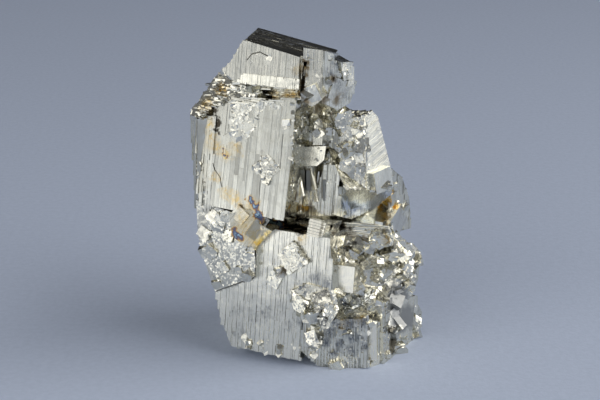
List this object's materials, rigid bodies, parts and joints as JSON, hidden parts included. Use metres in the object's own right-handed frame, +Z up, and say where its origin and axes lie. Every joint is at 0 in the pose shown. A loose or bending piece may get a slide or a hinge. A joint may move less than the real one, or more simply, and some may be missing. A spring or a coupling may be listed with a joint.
{
  "type": "pyrite crystal cluster",
  "caption": "Upright pyrite specimen: intergrown striated blocky crystals with a rough granular side and a flat base it stands on for display.",
  "frame": {"origin": "under the middle of the bounding box, at the level of the flat base", "axes": "+Z up, the widest striated faces towards -Y, the granular side towards +X"},
  "size_m": [0.0508, 0.0406, 0.0693],
  "materials": {
    "pyrite": null
  },
  "bodies": {
    "root": {"pyrite_cluster": "pyrite"}
  },
  "joints": []
}
